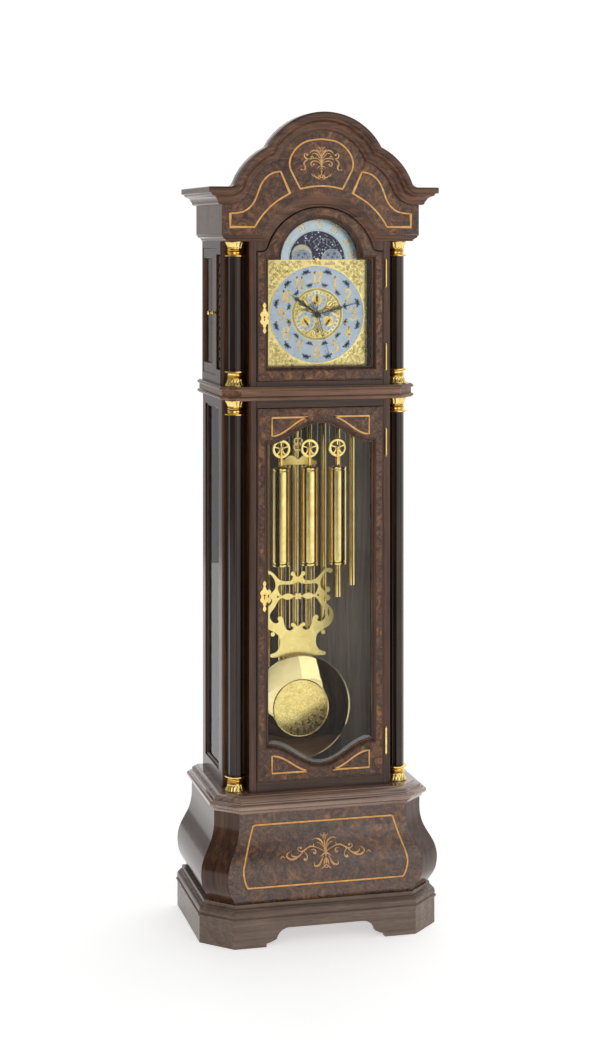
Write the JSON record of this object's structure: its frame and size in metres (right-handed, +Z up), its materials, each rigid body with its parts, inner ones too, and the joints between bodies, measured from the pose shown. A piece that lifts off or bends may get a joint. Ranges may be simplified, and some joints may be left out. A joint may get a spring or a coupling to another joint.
{
  "type": "longcase clock",
  "caption": "Longcase clock with a bombe base, glazed trunk, arched moon dial, lyre pendulum, cable-driven weights and tubular chimes.",
  "frame": {"origin": "on the floor, in the middle of the plinth's footprint", "axes": "+X to the right as one faces the dial, -Y out of the dial towards the viewer, +Z up"},
  "size_m": [0.672, 0.4016, 2.2392],
  "materials": {
    "walnut": "gloss",
    "burl": "gloss",
    "inlay": "gloss",
    "glass": "polished",
    "brass": "polished",
    "silvered": "satin",
    "enamel": "satin",
    "black": "satin",
    "steel": "satin"
  },
  "bodies": {
    "case": {"back_board": "walnut", "base_top": "walnut", "bombe_front": "burl", "bombe_side_left": "walnut", "bombe_side_right": "walnut", "cable_centre": "steel", "cable_left": "steel", "cable_right": "steel", "chime_tubes": "brass", "cornice": "walnut", "dial_plate": "silvered", "frieze": "burl", "frieze_moulding": "walnut", "hood_column_left": "walnut", "hood_column_right": "walnut", "hood_post_left": "walnut", "hood_post_right": "walnut", "hood_side_left": "walnut", "hood_side_right": "walnut", "movement_frame": "brass", "plinth": "walnut", "roof_board": "walnut", "seat_board": "walnut", "trunk_column_left": "walnut", "trunk_column_right": "walnut", "trunk_post_left": "walnut", "trunk_post_right": "walnut", "trunk_side_glass_left": "glass", "trunk_side_glass_right": "glass", "trunk_side_left": "walnut", "trunk_side_right": "walnut", "waist_moulding": "walnut"},
    "trunk_door": {"trunk_door_frame": "burl", "trunk_door_glass": "glass"},
    "hood_door": {"hood_door_frame": "burl", "hood_door_glass": "glass"},
    "hood_side_door_left": {"hood_side_door_left": "walnut", "hood_side_glass_left": "glass"},
    "hood_side_door_right": {"hood_side_door_right": "walnut", "hood_side_glass_right": "glass"},
    "minute_hand": {"minute_hand": "black"},
    "hour_hand": {"hour_hand": "black"},
    "seconds_hand": {"seconds_hand": "black"},
    "moon_disc": {"moon_disc": "enamel"},
    "escape_wheel": {"escape_wheel": "brass"},
    "strike_dial_hand": {"strike_dial_hand": "black"},
    "chime_dial_hand": {"chime_dial_hand": "black"},
    "tune_dial_hand": {"tune_dial_hand": "black"},
    "pendulum": {"pendulum": "brass", "pendulum_bob": "brass"},
    "anchor": {"anchor": "steel"},
    "weight_left": {"weight_left": "brass"},
    "pulley_left": {"pulley_left": "brass"},
    "winding_drum_left": {"winding_drum_left": "brass"},
    "weight_centre": {"weight_centre": "brass"},
    "pulley_centre": {"pulley_centre": "brass"},
    "winding_drum_centre": {"winding_drum_centre": "brass"},
    "weight_right": {"weight_right": "brass"},
    "pulley_right": {"pulley_right": "brass"},
    "winding_drum_right": {"winding_drum_right": "brass"}
  },
  "joints": [
    {"name": "trunk_door_hinge", "type": "hinge", "parent": "case", "child": "trunk_door", "pos_m": [0.183, -0.142, 0.93], "axis": [0, 0, 1], "range_deg": [0, 110]},
    {"name": "hood_door_hinge", "type": "hinge", "parent": "case", "child": "hood_door", "pos_m": [0.183, -0.142, 1.688], "axis": [0, 0, 1], "range_deg": [0, 110]},
    {"name": "hood_side_door_left_hinge", "type": "hinge", "parent": "case", "child": "hood_side_door_left", "pos_m": [-0.259, 0.1885, 1.688], "axis": [0, 0, -1], "range_deg": [0, 100]},
    {"name": "hood_side_door_right_hinge", "type": "hinge", "parent": "case", "child": "hood_side_door_right", "pos_m": [0.259, 0.1885, 1.688], "axis": [0, 0, 1], "range_deg": [0, 100]},
    {"name": "minute_arbor", "type": "hinge", "parent": "case", "child": "minute_hand", "pos_m": [0, -0.1073, 1.688], "axis": [0, 1, 0], "continuous": true},
    {"name": "hour_arbor", "type": "hinge", "parent": "case", "child": "hour_hand", "pos_m": [0, -0.1073, 1.688], "axis": [0, 1, 0], "continuous": true},
    {"name": "seconds_arbor", "type": "hinge", "parent": "case", "child": "seconds_hand", "pos_m": [0, -0.1073, 1.688], "axis": [0, 1, 0], "continuous": true},
    {"name": "moon_arbor", "type": "hinge", "parent": "case", "child": "moon_disc", "pos_m": [0, -0.0975, 1.838], "axis": [0, 1, 0], "continuous": true},
    {"name": "escape_arbor", "type": "hinge", "parent": "case", "child": "escape_wheel", "pos_m": [0, 0.008, 1.738], "axis": [0, 1, 0], "continuous": true},
    {"name": "strike_selector", "type": "hinge", "parent": "case", "child": "strike_dial_hand", "pos_m": [0, -0.0975, 1.727], "axis": [0, 1, 0], "range_deg": [0, 180]},
    {"name": "chime_selector", "type": "hinge", "parent": "case", "child": "chime_dial_hand", "pos_m": [-0.033, -0.0975, 1.6693], "axis": [0, 1, 0], "range_deg": [0, 180]},
    {"name": "tune_selector", "type": "hinge", "parent": "case", "child": "tune_dial_hand", "pos_m": [0.033, -0.0975, 1.6693], "axis": [0, 1, 0], "range_deg": [-120, 120]},
    {"name": "pendulum_pivot", "type": "hinge", "parent": "case", "child": "pendulum", "pos_m": [0, 0.115, 1.765], "axis": [0, 1, 0], "range_deg": [-2.5, 2.5]},
    {"name": "anchor_arbor", "type": "hinge", "parent": "case", "child": "anchor", "pos_m": [0, 0.008, 1.765], "axis": [0, 1, 0], "range_deg": [-2.5, 2.5]},
    {"name": "weight_left_travel", "type": "slide", "parent": "case", "child": "weight_left", "axis": [0, 0, 1], "range_m": [-0.56, 0.1], "deforming": ["cable_left"]},
    {"name": "pulley_left_pin", "type": "hinge", "parent": "weight_left", "child": "pulley_left", "pos_m": [-0.081, -0.015, 1.312], "axis": [0, 1, 0], "continuous": true},
    {"name": "winding_drum_left_arbor", "type": "hinge", "parent": "case", "child": "winding_drum_left", "pos_m": [-0.081, 0, 1.6674], "axis": [0, 1, 0], "continuous": true},
    {"name": "weight_centre_travel", "type": "slide", "parent": "case", "child": "weight_centre", "axis": [0, 0, 1], "range_m": [-0.56, 0.1], "deforming": ["cable_centre"]},
    {"name": "pulley_centre_pin", "type": "hinge", "parent": "weight_centre", "child": "pulley_centre", "pos_m": [0, -0.015, 1.312], "axis": [0, 1, 0], "continuous": true},
    {"name": "winding_drum_centre_arbor", "type": "hinge", "parent": "case", "child": "winding_drum_centre", "pos_m": [0, 0, 1.6425], "axis": [0, 1, 0], "continuous": true},
    {"name": "weight_right_travel", "type": "slide", "parent": "case", "child": "weight_right", "axis": [0, 0, 1], "range_m": [-0.56, 0.1], "deforming": ["cable_right"]},
    {"name": "pulley_right_pin", "type": "hinge", "parent": "weight_right", "child": "pulley_right", "pos_m": [0.081, -0.015, 1.312], "axis": [0, 1, 0], "continuous": true},
    {"name": "winding_drum_right_arbor", "type": "hinge", "parent": "case", "child": "winding_drum_right", "pos_m": [0.081, 0, 1.6674], "axis": [0, 1, 0], "continuous": true}
  ],
  "couplings": [
    {"joint": "hour_arbor", "follows": "minute_arbor", "ratio": 0.083333},
    {"joint": "moon_arbor", "follows": "minute_arbor", "ratio": 0.000705},
    {"joint": "seconds_arbor", "follows": "escape_arbor", "ratio": -1},
    {"joint": "anchor_arbor", "follows": "pendulum_pivot", "ratio": 1},
    {"joint": "pulley_left_pin", "follows": "weight_left_travel", "rad_per_m": 43.103},
    {"joint": "winding_drum_left_arbor", "follows": "weight_left_travel", "rad_per_m": 86.207},
    {"joint": "pulley_centre_pin", "follows": "weight_centre_travel", "rad_per_m": 43.103},
    {"joint": "winding_drum_centre_arbor", "follows": "weight_centre_travel", "rad_per_m": 86.207},
    {"joint": "pulley_right_pin", "follows": "weight_right_travel", "rad_per_m": 43.103},
    {"joint": "winding_drum_right_arbor", "follows": "weight_right_travel", "rad_per_m": 86.207}
  ]
}
